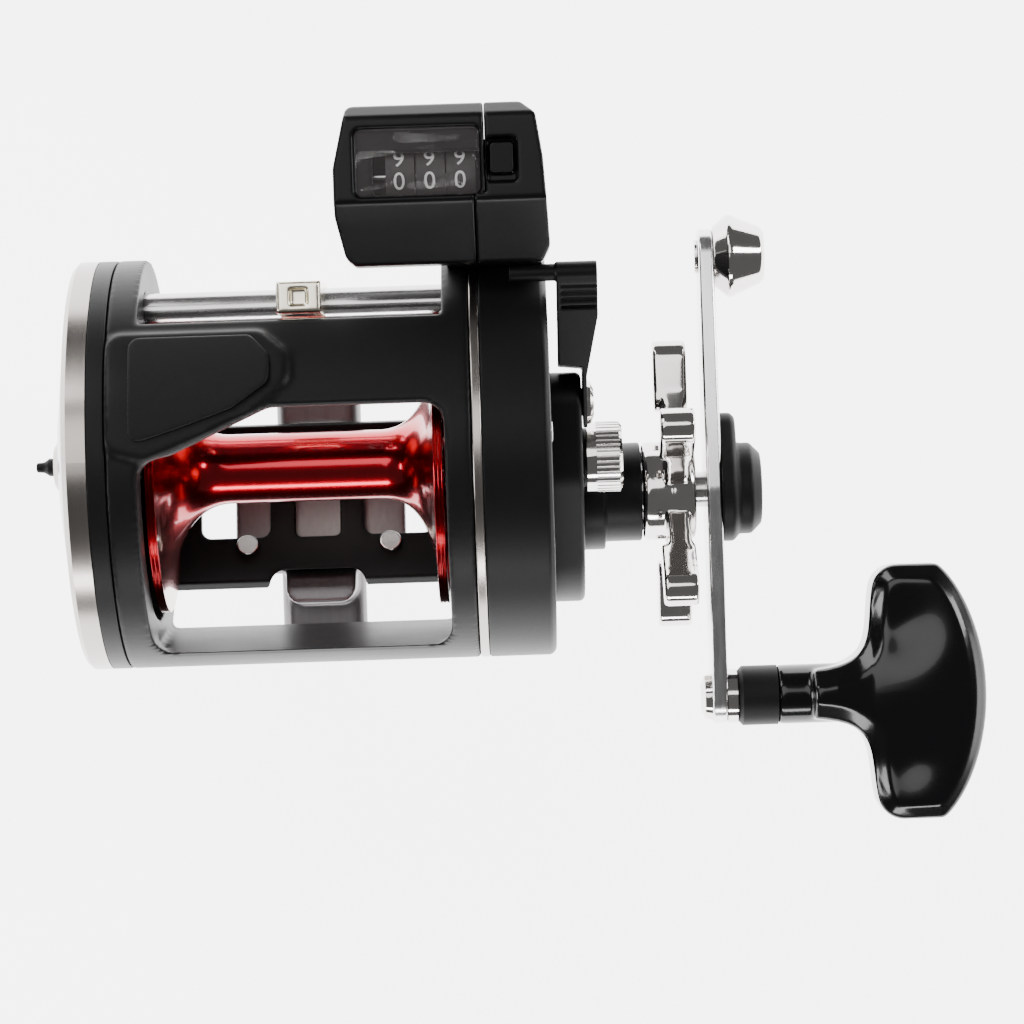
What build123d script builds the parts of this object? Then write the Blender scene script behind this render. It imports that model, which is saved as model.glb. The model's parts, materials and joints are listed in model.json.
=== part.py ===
from build123d import *
import os
from math import acos, asin, atan2, cos, degrees, hypot, pi, radians, sin, sqrt, tan

os.makedirs("parts", exist_ok=True)

# A line-counter trolling reel. X runs along the spool towards the handle, Y points to the rod tip,
# Z is up. The origin is under the middle of the reel foot. All sizes are in millimetres.

# ---- Driving dimensions: centres are (Y, Z), stations are X ----
spool_centre = (2.5, 40.0)
plate_centre = (3.8, 38.0)
plate_radius = 34.0
gear_module = 0.6
drive_teeth = 46
pinion_teeth = 11
shaft_distance = gear_module * (drive_teeth + pinion_teeth) / 2
main_setback = 5.9
main_centre = (spool_centre[0] - main_setback, spool_centre[1] - sqrt(shaft_distance**2 - main_setback**2))
worm_centre = (28.7, 48.0)
rod_centre = (29.8, 38.4)
counter_centre = (47.5, 68.0)
lever_centre = (11.5, 47.0)

left_cover_rim = -33.3
left_ring_outer = -30.3
left_ring_inner = -25.4
right_ring_inner = 23.4
right_ring_outer = 27.8
trim_outer = 29.3
right_plate_face = 40.4
boss_face = 45.7
arm_inner = 66.8
arm_outer = 69.4

running_fit = 0.05
spool_bore_radius = 24.6
spool_shaft_radius = 1.5
main_journal_radius = 3.0
sleeve_radius = 5.0
clutch_travel = 1.6
train_start = 30.0
train_end = 31.4
level_wind_teeth = 45
idler_teeth = 38
worm_teeth = 15
tube_radius = 2.9
drive_shaft_station = 33.6


# ---- Shared shapes ----
def along_x(centre):
    """Axis along X through a (Y, Z) centre."""
    return Axis((0, *centre), (1, 0, 0))


def turn(points, centre, mode=Mode.ADD):
    """Revolve (X, radius) points about the axis along X through the centre."""
    with BuildSketch(Plane(origin=(0, *centre), x_dir=(1, 0, 0), z_dir=(0, -1, 0))) as profile:
        with BuildLine():
            Polyline(*points, close=True)
        make_face()
    revolve(profile.sketch, axis=along_x(centre), mode=mode)


def disc(start, end, radius, centre, hole=0.0, mode=Mode.ADD):
    """A disc, or a ring where it has a hole, between two stations."""
    turn([(start, hole), (end, hole), (end, radius), (start, radius)], centre, mode)


def bore(start, end, radius, centre):
    """A round hole between two stations."""
    disc(start, end, radius, centre, mode=Mode.SUBTRACT)


def slab(points, start, end, mode=Mode.ADD):
    """A (Y, Z) outline carried from one station to another."""
    with BuildSketch(Plane.YZ.offset(start)) as outline:
        with BuildLine():
            Polyline(*points, close=True)
        make_face()
    extrude(outline.sketch, amount=end - start, mode=mode)


def round_plate(lobes, start, end, mode=Mode.ADD):
    """The hull of (centre, radius) lobes, carried from one station to another."""
    with BuildSketch(Plane.YZ.offset(start)) as outline:
        for centre, radius in lobes:
            with Locations(centre):
                Circle(radius)
        make_hull()
    extrude(outline.sketch, amount=end - start, mode=mode)


def polar(centre, radius, angle):
    """The (Y, Z) point at an angle in degrees from straight up, turning towards the rod tip."""
    return (centre[0] + radius * sin(radians(angle)), centre[1] + radius * cos(radians(angle)))


def sector(inner, outer, first, last, start, end, mode=Mode.ADD):
    """A stretch of a tube about the plates' centre, between two angles from straight up."""
    middle = (first + last) / 2
    with BuildSketch(Plane.YZ.offset(start)) as outline:
        with BuildLine():
            ThreePointArc(*[polar(plate_centre, outer, angle) for angle in (first, middle, last)])
            Line(polar(plate_centre, outer, last), polar(plate_centre, inner, last))
            ThreePointArc(*[polar(plate_centre, inner, angle) for angle in (last, middle, first)])
            Line(polar(plate_centre, inner, first), polar(plate_centre, outer, first))
        make_face()
    extrude(outline.sketch, amount=end - start, mode=mode)


def plan_cut(points, corner, low, high, mode=Mode.INTERSECT):
    """Keep, or cut away, what lies inside an (X, Y) outline with rounded corners."""
    with BuildSketch(Plane.XY.offset(low)) as outline:
        with BuildLine():
            Polyline(*points, close=True)
        make_face()
        if corner > 0:
            fillet(outline.vertices(), corner)
    extrude(outline.sketch, amount=high - low, mode=mode)


def gear_points(teeth, module, first, centre):
    """Involute outline with its first tooth at an angle in degrees from +Y towards +Z."""
    pressure = radians(25)
    backlash = 0.12
    pitch_radius = module * teeth / 2
    base_radius = pitch_radius * cos(pressure)
    root_radius = pitch_radius - 0.98 * module
    tip_radius = pitch_radius + 0.75 * module
    half_tooth = (pi * module / 2 - backlash * module) / (2 * pitch_radius)
    involute = tan(pressure) - pressure
    low = max(base_radius, root_radius)
    flank = []
    for step in range(3):
        radius = low + (tip_radius - low) * step / 2
        roll = acos(base_radius / radius)
        flank.append((radius, half_tooth + involute - (tan(roll) - roll)))
    if root_radius < low:
        flank.insert(0, (root_radius, flank[0][1]))
    points = []
    for tooth in range(teeth):
        middle = radians(first) + 2 * pi * tooth / teeth
        side = [(radius, middle - half) for radius, half in flank]
        side += [(radius, middle + half) for radius, half in reversed(flank)]
        points += [(centre[0] + radius * cos(a), centre[1] + radius * sin(a)) for radius, a in side]
    return points


def bearing_angle(first_centre, second_centre):
    """Angle from +Y towards +Z of the line from one centre to another."""
    return degrees(atan2(second_centre[1] - first_centre[1], second_centre[0] - first_centre[0]))


def meshing_tooth(teeth, first, direction, mate_teeth):
    """The mate's first tooth, so that it has a gap where this gear's tooth meets it."""
    ahead = (first - direction) % (360 / teeth)
    return direction + 180 - ahead * teeth / mate_teeth + 180 / mate_teeth


# ---- Gear train: positions and the angles at which the teeth mesh ----
level_wind_radius = gear_module * level_wind_teeth / 2
idler_radius = gear_module * idler_teeth / 2
worm_radius = gear_module * worm_teeth / 2
reach = hypot(worm_centre[0] - main_centre[0], worm_centre[1] - main_centre[1])
first_leg = level_wind_radius + idler_radius
second_leg = idler_radius + worm_radius
corner_angle = degrees(acos((first_leg**2 + reach**2 - second_leg**2) / (2 * first_leg * reach)))
to_idler = bearing_angle(main_centre, worm_centre) - corner_angle
idler_centre = (
    main_centre[0] + first_leg * cos(radians(to_idler)),
    main_centre[1] + first_leg * sin(radians(to_idler)),
)
idler_first = meshing_tooth(level_wind_teeth, to_idler, to_idler, idler_teeth)
to_worm = bearing_angle(idler_centre, worm_centre)
worm_first = meshing_tooth(idler_teeth, idler_first, to_worm, worm_teeth)
to_pinion = bearing_angle(main_centre, spool_centre)
pinion_first = meshing_tooth(drive_teeth, to_pinion, to_pinion, pinion_teeth)

# The counter's drive shaft passes under the worm gear and under the wheel that it turns.
lower_offset = 7.0
upper_offset = 5.8
counter_run = hypot(counter_centre[0] - worm_centre[0], counter_centre[1] - worm_centre[1])
shaft_tilt = bearing_angle(worm_centre, counter_centre) + degrees(
    asin((lower_offset - upper_offset) / counter_run)
)
shaft_dir = Vector(0, cos(radians(shaft_tilt)), sin(radians(shaft_tilt)))
shaft_side = Vector(0, sin(radians(shaft_tilt)), -cos(radians(shaft_tilt)))
shaft_foot = Vector(drive_shaft_station, *worm_centre) + shaft_side * lower_offset
shaft_reach = sqrt(counter_run**2 - (lower_offset - upper_offset) ** 2)
shaft_plane = Plane(origin=shaft_foot, x_dir=(1, 0, 0), z_dir=shaft_dir)


def shaft_bore(start, end, radius):
    """A round hole about the counter's drive shaft, measured along it."""
    with BuildSketch(shaft_plane.offset(start)) as outline:
        Circle(radius)
    extrude(outline.sketch, amount=end - start, mode=Mode.SUBTRACT)


# ---- Frame: two rings, the front bar with its thumb gusset, and the rear bar ----
front_bar_first = 13.4
front_bar_last = 41.0
rear_bar_top = 293.0
rear_bar_bottom = 235.0
shell_inner = 28.6
window_front_y = polar(plate_centre, plate_radius, front_bar_first)[0]
window_rear_y = polar(plate_centre, plate_radius, rear_bar_top)[0]
gusset_points = [
    (-30.2, 24.2),
    (-5.5, 24.2),
    (-1.2, 20.6),
    (-1.2, 15.8),
    (-7.0, 10.8),
    (-24.0, 3.6),
    (-30.2, 5.4),
]
pad_points = [
    (-26.4, 23.4),
    (-7.0, 23.4),
    (-4.0, 20.2),
    (-4.0, 15.8),
    (-10.0, 11.6),
    (-18.6, 8.6),
    (-26.4, 6.2),
]
pad_floor = plate_radius + 0.8

with BuildPart() as frame:
    sector(plate_radius - 1, pad_floor, -8, front_bar_last, left_ring_outer, 0)
    plan_cut(gusset_points, 2.6, 50, 80)
    sector(shell_inner, plate_radius, rear_bar_top - 368, front_bar_last, left_ring_outer, right_ring_outer)
    plan_cut(
        [
            (left_ring_inner, window_rear_y),
            (right_ring_inner, window_rear_y),
            (right_ring_inner, window_front_y),
            (-4.5, window_front_y),
            (-20.0, 4.6),
            (left_ring_inner, 3.4),
        ],
        3.4,
        45,
        80,
        mode=Mode.SUBTRACT,
    )
    with BuildSketch(Plane.YZ.offset(left_ring_outer)) as rear_outline:
        with BuildLine():
            rear_angles = (rear_bar_top, 264, rear_bar_bottom)
            ThreePointArc(*[polar(plate_centre, plate_radius, angle) for angle in rear_angles])
            Line(
                polar(plate_centre, plate_radius, rear_bar_bottom),
                polar(plate_centre, plate_radius, rear_bar_top),
            )
        make_face()
    extrude(rear_outline.sketch, amount=right_ring_outer - left_ring_outer)
    for ring_start, ring_end in ((left_ring_outer, left_ring_inner), (right_ring_inner, right_ring_outer)):
        disc(ring_start, ring_end, plate_radius, plate_centre)
        bore(ring_start, ring_end, spool_bore_radius, spool_centre)
    bore(left_ring_outer, right_ring_outer, tube_radius, worm_centre)
    bore(left_ring_outer, right_ring_outer, 1.5, rod_centre)
frame.part.label = "frame"
export_step(frame.part, "parts/frame.step")

# ---- Thumb rest: a raised pad on the left of the front bar ----
with BuildPart() as thumb_rest:
    sector(pad_floor, pad_floor + 1.0, -5, 40, -27, -2)
    plan_cut(pad_points, 1.8, 60, 80)
thumb_rest.part.label = "thumb_rest"
export_step(thumb_rest.part, "parts/thumb_rest.step")

# ---- Left side: plate, domed cover and spool bearing ----
left_bearing_start = -33.0
with BuildPart() as left_side_plate:
    disc(left_cover_rim, left_ring_outer, plate_radius, plate_centre)
    disc(-31.8, left_ring_outer, 31.0, plate_centre, mode=Mode.SUBTRACT)
    disc(left_cover_rim, left_ring_outer, 7.0, spool_centre)
    bore(left_bearing_start, left_ring_outer, 4.5, spool_centre)
    bore(left_cover_rim, left_ring_outer, 2.2, spool_centre)
    disc(-31.8, left_ring_outer, 5.0, worm_centre)
    bore(-31.5, left_ring_outer, 1.55, worm_centre)
left_side_plate.part.label = "left_side_plate"
export_step(left_side_plate.part, "parts/left_side_plate.step")

cover_outside = [
    (-33.3, 34),
    (-36.4, 34),
    (-37.2, 33.2),
    (-37.2, 32),
    (-36.7, 31),
    (-38.6, 24),
    (-40.2, 14),
]
cover_outside += [(-41.2, 5), (-42.3, 3.4), (-42.3, 0)]
cover_inside = [
    (-41.1, 0),
    (-41.1, 2.6),
    (-40.0, 5),
    (-39.0, 14),
    (-37.4, 24),
    (-35.5, 31.6),
    (-33.3, 32.6),
]
with BuildPart() as left_cover:
    turn(cover_outside + cover_inside, plate_centre)
    with BuildSketch(Plane.YZ.offset(-44)) as click_slot:
        with Locations((plate_centre[0], plate_centre[1] - 1.2)):
            SlotOverall(4.9, 2.2, rotation=90)
    extrude(click_slot.sketch, amount=5, mode=Mode.SUBTRACT)
left_cover.part.label = "left_cover"
export_step(left_cover.part, "parts/left_cover.step")

with BuildPart() as spool_bearings:
    disc(left_bearing_start, left_ring_outer, 4.5, spool_centre, hole=spool_shaft_radius + running_fit)
    disc(42.6, boss_face, 4.0, spool_centre, hole=spool_shaft_radius + running_fit)
spool_bearings.part.label = "spool_bearings"
export_step(spool_bearings.part, "parts/spool_bearings.step")

# ---- Clicker: gear on the spool shaft, button and tongue ----
click_start = -35.4
click_end = -34.2
click_teeth = 16
with BuildPart() as click_gear:
    slab(gear_points(click_teeth, gear_module, 90, spool_centre), click_start, click_end)
    bore(click_start, click_end, spool_shaft_radius, spool_centre)
click_gear.part.label = "click_gear"
export_step(click_gear.part, "parts/click_gear.step")

with BuildPart() as click_button:
    turn([(-42.5, 0), (-42.5, 1.5), (-43.3, 1.5), (-44.2, 0.9), (-45.5, 0.8), (-45.5, 0)], plate_centre)
    disc(-42.5, -38.2, 0.9, plate_centre)
click_button.part.label = "click_button"
export_step(click_button.part, "parts/click_button.step")

tongue_tip = spool_centre[1] + 8.0
with BuildPart() as click_tongue:
    with BuildSketch(Plane.YZ.offset(-38.2)) as tongue_strip:
        with Locations((spool_centre[0] + 0.65, (plate_centre[1] + tongue_tip) / 2)):
            RectangleRounded(4.2, tongue_tip - plate_centre[1] + 4, 1.6)
    extrude(tongue_strip.sketch, amount=1)
    with BuildSketch(Plane.YZ.offset(-37.4)) as finger:
        with Locations((spool_centre[0], tongue_tip + 0.7)):
            Rectangle(0.9, 1.4)
    extrude(finger.sketch, amount=click_end + 37.4)
click_tongue.part.label = "click_tongue"
export_step(click_tongue.part, "parts/click_tongue.step")

# ---- Spool: thin ridged flanges that flare from the arbor ----
flange_left = -25.1
flange_right = 22.9
flange_radius = 23.5
arbor_radius = 5.75
arbor_left = -12.9
arbor_right = 12.3
lip = 1.6
with BuildPart() as spool:
    with BuildSketch(Plane(origin=(0, *spool_centre), x_dir=(1, 0, 0), z_dir=(0, -1, 0))) as spool_profile:
        with BuildLine():
            Polyline(
                (flange_left + lip, flange_radius),
                (flange_left, flange_radius),
                (flange_left, spool_shaft_radius),
                (flange_right, spool_shaft_radius),
                (flange_right, flange_radius),
                (flange_right - lip, flange_radius),
            )
            Bezier(
                (flange_right - lip, flange_radius),
                (flange_right - lip, 12),
                (arbor_right + 6, arbor_radius),
                (arbor_right, arbor_radius),
            )
            Line((arbor_right, arbor_radius), (arbor_left, arbor_radius))
            Bezier(
                (arbor_left, arbor_radius),
                (arbor_left - 6, arbor_radius),
                (flange_left + lip, 12),
                (flange_left + lip, flange_radius),
            )
        make_face()
    revolve(spool_profile.sketch, axis=along_x(spool_centre))
    disc(flange_left, flange_left + 0.8, 21.5, spool_centre, hole=4, mode=Mode.SUBTRACT)
    disc(flange_right - 0.8, flange_right, 21.5, spool_centre, hole=4, mode=Mode.SUBTRACT)
    for rim in (flange_left + 0.5, flange_left + 1.1, flange_right - 1.1, flange_right - 0.5):
        disc(rim - 0.12, rim + 0.12, 24, spool_centre, hole=flange_radius - 0.2, mode=Mode.SUBTRACT)
spool.part.label = "spool"
export_step(spool.part, "parts/spool.step")

square_start = 30.4
square_end = 32.3
square_width = 2.9
with BuildPart() as spool_shaft:
    disc(-35.9, 45.4, spool_shaft_radius, spool_centre)
    disc(flange_right, 24.6, 3.0, spool_centre)
    with BuildSketch(Plane.YZ.offset(square_start)) as square:
        with Locations(spool_centre):
            Rectangle(square_width, square_width)
    extrude(square.sketch, amount=square_end - square_start)
spool_shaft.part.label = "spool_shaft"
export_step(spool_shaft.part, "parts/spool_shaft.step")

# ---- Pinion and yoke ----
pinion_left = 31.5
pinion_collar = 32.5
tooth_end = 37.5
groove_end = 39.3
pinion_right = 40.1
with BuildPart() as pinion:
    disc(pinion_left, pinion_collar, 2.7, spool_centre)
    slab(gear_points(pinion_teeth, gear_module, pinion_first, spool_centre), pinion_collar, tooth_end)
    disc(tooth_end, groove_end, 2.5, spool_centre)
    disc(groove_end, pinion_right, 3.6, spool_centre)
    bore(pinion_left, pinion_right, spool_shaft_radius + running_fit, spool_centre)
    with BuildSketch(Plane.YZ.offset(pinion_left)) as socket:
        with Locations(spool_centre):
            Rectangle(square_width + 0.2, square_width + 0.2)
    extrude(socket.sketch, amount=square_end - pinion_left, mode=Mode.SUBTRACT)
pinion.part.label = "pinion"
export_step(pinion.part, "parts/pinion.step")

# The yoke's two ears lie square to the line between the two shafts.
yoke_start = 37.8
yoke_end = 39.0
ear_reach = 6.4
ear_turn = radians(to_pinion + 90)
ears = [
    (spool_centre[0] + side * ear_reach * cos(ear_turn), spool_centre[1] + side * ear_reach * sin(ear_turn))
    for side in (-1, 1)
]
with BuildPart() as yoke:
    round_plate([(spool_centre, 4.2), (ears[0], 1.9), (ears[1], 1.9)], yoke_start, yoke_end)
    bore(yoke_start, yoke_end, 2.5 + 0.08, spool_centre)
    for ear in ears:
        bore(yoke_start, yoke_end, 1.0 + running_fit, ear)
yoke.part.label = "yoke"
export_step(yoke.part, "parts/yoke.step")

# ---- Bridge plate, the studs for the idler gear and the yoke, and the right trim ring ----
bridge_end = 29.3
bridge_radius = 31.8
with BuildPart() as bridge_plate:
    disc(right_ring_outer, bridge_end, bridge_radius, plate_centre)
    bore(right_ring_outer, bridge_end, 3.4, spool_centre)
    bore(right_ring_outer, bridge_end, 2.0 + running_fit, main_centre)
    bore(right_ring_outer, bridge_end, tube_radius, worm_centre)
bridge_plate.part.label = "bridge_plate"
export_step(bridge_plate.part, "parts/bridge_plate.step")

with BuildPart() as pivot_studs:
    for ear in ears:
        disc(36.9, 44.1, 1.0, ear)
    disc(bridge_end, 32.6, 1.0, idler_centre)
pivot_studs.part.label = "pivot_studs"
export_step(pivot_studs.part, "parts/pivot_studs.step")

with BuildPart() as yoke_springs:
    for ear in ears:
        disc(41.0, 42.5, 2.0, ear, hole=1.2)
yoke_springs.part.label = "yoke_springs"
export_step(yoke_springs.part, "parts/yoke_springs.step")

with BuildPart() as trim_ring:
    disc(right_ring_outer, trim_outer, plate_radius, plate_centre, hole=bridge_radius)
trim_ring.part.label = "trim_ring"
export_step(trim_ring.part, "parts/trim_ring.step")

# ---- Right side plate: a cup, open to the boss plate and to the counter's drive ----
plate_wall = 1.6
main_lobe = (main_centre, 18.4)
boss_lobes = [main_lobe, (spool_centre, 9.5), (lever_centre, 5.0)]
boss_inside = [(main_centre, 16.8), (spool_centre, 8.6), (lever_centre, 3.4)]
with BuildPart() as right_side_plate:
    disc(trim_outer, right_plate_face, plate_radius, plate_centre)
    rim_edge = right_side_plate.edges().filter_by(GeomType.CIRCLE).sort_by(Axis.X)[-1]
    chamfer(rim_edge, 0.8)
    bore(trim_outer, right_plate_face - plate_wall, plate_radius - 2, plate_centre)
    round_plate(boss_inside, trim_outer, right_plate_face, mode=Mode.SUBTRACT)
    shaft_bore(-6, 8, 2.4)
right_side_plate.part.label = "right_side_plate"
export_step(right_side_plate.part, "parts/right_side_plate.step")

# ---- Boss plate: covers the clutch, carries the cap stub and the bearing tube ----
stub_end = 48.0
tube_step = 49.5
tube_end = 55.8
bearing_radius = 7.6
with BuildPart() as boss_plate:
    round_plate(boss_lobes, right_plate_face, boss_face)
    boss_rim = boss_plate.edges().group_by(Axis.X)[-1]
    chamfer(boss_rim, 0.6)
    round_plate(boss_inside, right_plate_face, boss_face - plate_wall, mode=Mode.SUBTRACT)
    disc(42.6, stub_end, 4.9, spool_centre)
    bore(42.6, boss_face, 4.0, spool_centre)
    bore(42.6, stub_end, 2.4, spool_centre)
    disc(44.1, tube_step, 9.7, main_centre)
    disc(tube_step, tube_end, 8.4, main_centre)
    bore(46.6, tube_end, bearing_radius, main_centre)
    bore(44.1, 46.6, sleeve_radius + 0.3, main_centre)
    bore(44.1, boss_face, 2.2 + running_fit, lever_centre)
boss_plate.part.label = "boss_plate"
export_step(boss_plate.part, "parts/boss_plate.step")

# ---- Clutch lever: plate on the boss face, thumb tab and bar over the plate's rim ----
lever_start = 45.9
lever_end = 46.6
strip_inner = 42.0
strip_outer = 48.6
thumb_centre = (32.0, 62.4)
lever_elbow = (25.0, 56.8)
thumb_bar_start = 34.5
lever_plan = [
    (45.9, 5),
    (46.6, 5),
    (46.6, 15.5),
    (48.6, 25.0),
    (48.6, 36),
    (42.0, 36),
    (42.0, 17.4),
    (45.9, 17.0),
]
lever_lobes = [(lever_centre, 4.2), (lever_elbow, 2.2), (thumb_centre, 1.7)]
rib_count = 5
rib_step = (-1.04, -0.83)
first_rib = (thumb_centre[0] - 1.3, thumb_centre[1] + 1.65)
with BuildPart() as clutch_lever:
    round_plate(lever_lobes, strip_inner, strip_outer)
    plan_cut(lever_plan, 0, 30, 80)
    disc(thumb_bar_start, strip_inner + 1, 1.4, thumb_centre)
    disc(boss_face - 1.6, lever_start, 2.2, lever_centre)
    disc(43.3, 44.1, 2.2, lever_centre)
    for rib in range(rib_count):
        groove_place = (first_rib[0] + rib * rib_step[0], first_rib[1] + rib * rib_step[1])
        bore(strip_inner + 0.7, strip_outer, 0.4, groove_place)
clutch_lever.part.label = "clutch_lever"
export_step(clutch_lever.part, "parts/clutch_lever.step")

with BuildPart() as lever_screw:
    turn([(lever_end, 0), (lever_end, 3.7), (47.2, 3.5), (47.7, 2.4), (47.9, 0)], lever_centre)
lever_screw.part.label = "lever_screw"
export_step(lever_screw.part, "parts/lever_screw.step")

with BuildPart() as clutch_cam:
    round_plate([(lever_centre, 3.0), ((lever_centre[0] - 3.5, lever_centre[1] - 3.5), 1.4)], 41.9, 43.3)
clutch_cam.part.label = "clutch_cam"
export_step(clutch_cam.part, "parts/clutch_cam.step")

# ---- Cast control cap ----
cap_start = 46.4
cap_step = 48.0
cap_end = 52.3
cap_radius = 5.9
knurls = 40
with BuildPart() as cast_cap:
    disc(cap_start, cap_end, cap_radius, spool_centre)
    chamfer(cast_cap.edges().filter_by(GeomType.CIRCLE).sort_by(Axis.X)[-1], 0.5)
    bore(cap_start, stub_end + 0.4, 4.9 + running_fit, spool_centre)
    with BuildSketch(Plane.YZ.offset(cap_step)) as grip_grooves:
        with Locations(spool_centre):
            with PolarLocations(cap_radius + 0.1, knurls):
                Circle(0.25)
    extrude(grip_grooves.sketch, amount=cap_end - cap_step, mode=Mode.SUBTRACT)
cast_cap.part.label = "cast_cap"
export_step(cast_cap.part, "parts/cast_cap.step")

# ---- Main shaft with its gears and drag stack ----
with BuildPart() as main_shaft:
    disc(28.0, 29.8, 2.0, main_centre)
    disc(29.8, arm_outer, main_journal_radius, main_centre)
    disc(arm_outer, 75.0, 2.4, main_centre)
main_shaft.part.label = "main_shaft"
export_step(main_shaft.part, "parts/main_shaft.step")

with BuildPart() as level_wind_gear:
    slab(gear_points(level_wind_teeth, gear_module, to_idler, main_centre), train_start, train_end)
    bore(train_start, train_end, main_journal_radius, main_centre)
level_wind_gear.part.label = "level_wind_gear"
export_step(level_wind_gear.part, "parts/level_wind_gear.step")

drive_start = 33.2
drive_end = 36.7
with BuildPart() as drive_gear:
    slab(gear_points(drive_teeth, gear_module, to_pinion, main_centre), drive_start, drive_end)
    disc(train_end, drive_start, 5.0, main_centre)
    bore(train_end, drive_end, main_journal_radius, main_centre)
drive_gear.part.label = "drive_gear"
export_step(drive_gear.part, "parts/drive_gear.step")

drag_pairs = 2
washer_thickness = 0.55
plate_thickness = 0.5
with BuildPart() as drag_washers:
    for pair in range(drag_pairs):
        washer_start = drive_end + pair * (washer_thickness + plate_thickness)
        disc(washer_start, washer_start + washer_thickness, 9.6, main_centre, hole=main_journal_radius)
drag_washers.part.label = "drag_washers"
export_step(drag_washers.part, "parts/drag_washers.step")

with BuildPart() as drag_plates:
    for pair in range(drag_pairs):
        plate_start = drive_end + washer_thickness + pair * (washer_thickness + plate_thickness)
        disc(plate_start, plate_start + plate_thickness, 10.0, main_centre, hole=main_journal_radius)
drag_plates.part.label = "drag_plates"
export_step(drag_plates.part, "parts/drag_plates.step")

stack_end = drive_end + drag_pairs * (washer_thickness + plate_thickness)
sleeve_end = 56.2
with BuildPart() as drag_sleeve:
    disc(stack_end, sleeve_end, sleeve_radius, main_centre, hole=main_journal_radius)
drag_sleeve.part.label = "drag_sleeve"
export_step(drag_sleeve.part, "parts/drag_sleeve.step")

roller_radius = 0.85
with BuildPart() as one_way_bearing:
    disc(47.0, 54.0, bearing_radius, main_centre, hole=6.85)
    for roller in range(8):
        disc(47.5, 53.5, roller_radius, polar(main_centre, 5.95, roller * 45))
one_way_bearing.part.label = "one_way_bearing"
export_step(one_way_bearing.part, "parts/one_way_bearing.step")

with BuildPart() as drag_springs:
    for spring_start in (sleeve_end, sleeve_end + 0.8):
        turn(
            [
                (spring_start, main_journal_radius),
                (spring_start + 0.5, main_journal_radius),
                (spring_start + 0.8, 5.6),
                (spring_start + 0.3, 5.6),
            ],
            main_centre,
        )
drag_springs.part.label = "drag_springs"
export_step(drag_springs.part, "parts/drag_springs.step")

# ---- Star drag wheel ----
star_arms = 5
star_first = 99.0
star_reach = 23.0
with BuildPart() as star_wheel:
    disc(56.0, 61.3, 8.4, main_centre)
    chamfer(star_wheel.edges().filter_by(GeomType.CIRCLE).sort_by(Axis.X)[0], 0.5)
    disc(61.3, 65.0, 8.6, main_centre)
    chamfer(star_wheel.edges().filter_by(GeomType.CIRCLE).sort_by(Axis.X)[-1], 0.6)
    for arm in range(star_arms):
        direction = star_first - arm * 360 / star_arms
        round_plate([(main_centre, 3.4), (polar(main_centre, star_reach - 6, direction), 2.4)], 60.0, 63.8)
        tip = polar(main_centre, star_reach, direction)
        round_plate([(polar(main_centre, star_reach - 7, direction), 2.3), (tip, 3.1)], 58.6, 64.4)
    bore(56.0, 58.2, 6.4, main_centre)
    bore(56.0, 65.0, main_journal_radius + running_fit, main_centre)
star_wheel.part.label = "star_wheel"
export_step(star_wheel.part, "parts/star_wheel.step")

# ---- Handle: arm, nut, nut cover, counterweight and the knob's post ----
weight_offset = 39.8
knob_offset = -35.5
weight_centre = (main_centre[0] + weight_offset, main_centre[1])
knob_centre = (main_centre[0] + knob_offset, main_centre[1])
with BuildPart() as handle_arm:
    round_plate([(main_centre, 7.6), (weight_centre, 4.7)], arm_inner, arm_outer)
    round_plate([(main_centre, 7.6), (knob_centre, 4.5)], arm_inner, arm_outer)
    bore(arm_inner, arm_outer, main_journal_radius, main_centre)
    bore(arm_inner, arm_outer, 2.0, knob_centre)
    bore(arm_inner, arm_outer, 1.8, weight_centre)
handle_arm.part.label = "handle_arm"
export_step(handle_arm.part, "parts/handle_arm.step")

nut_end = 73.2
with BuildPart() as handle_nut:
    with BuildSketch(Plane.YZ.offset(arm_outer)) as hexagon:
        with Locations(main_centre):
            RegularPolygon(4.6, 6)
            Circle(2.4, mode=Mode.SUBTRACT)
    extrude(hexagon.sketch, amount=nut_end - arm_outer)
handle_nut.part.label = "handle_nut"
export_step(handle_nut.part, "parts/handle_nut.step")

cover_front = (main_centre[0] + 8.8, main_centre[1])
tab_top = 72.2
cap_top = 76.3
with BuildPart() as nut_cover:
    round_plate([(main_centre, 9.0), (cover_front, 4.2)], arm_outer, tab_top)
    chamfer(nut_cover.edges().group_by(Axis.X)[-1], 0.8)
    disc(tab_top - 1.0, cap_top, 7.8, main_centre)
    chamfer(nut_cover.edges().group_by(Axis.X)[-1], 1.8)
    bore(arm_outer, 75.2, 5.0, main_centre)
nut_cover.part.label = "nut_cover"
export_step(nut_cover.part, "parts/nut_cover.step")

with BuildPart() as counterweight:
    disc(arm_inner - 0.6, arm_inner, 2.9, weight_centre)
    disc(arm_inner, arm_outer, 1.8, weight_centre)
    turn(
        [(arm_outer, 0), (arm_outer, 5.0), (71.8, 7.05), (72.4, 7.05), (77.4, 4.9), (78.1, 4.2), (78.1, 0)],
        weight_centre,
    )
counterweight.part.label = "counterweight"
export_step(counterweight.part, "parts/counterweight.step")

collar_end = 71.1
post_end = 107.0
post_radius = 1.9
with BuildPart() as knob_post:
    turn(
        [
            (64.9, 0),
            (64.9, 2.2),
            (65.6, 3.7),
            (arm_inner, 4.0),
            (arm_inner, 2.0),
            (arm_outer, 2.0),
            (arm_outer, 4.6),
            (collar_end, 4.6),
            (collar_end, post_radius),
            (post_end, post_radius),
            (post_end, 0),
        ],
        knob_centre,
    )
knob_post.part.label = "knob_post"
export_step(knob_post.part, "parts/knob_post.step")

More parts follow.
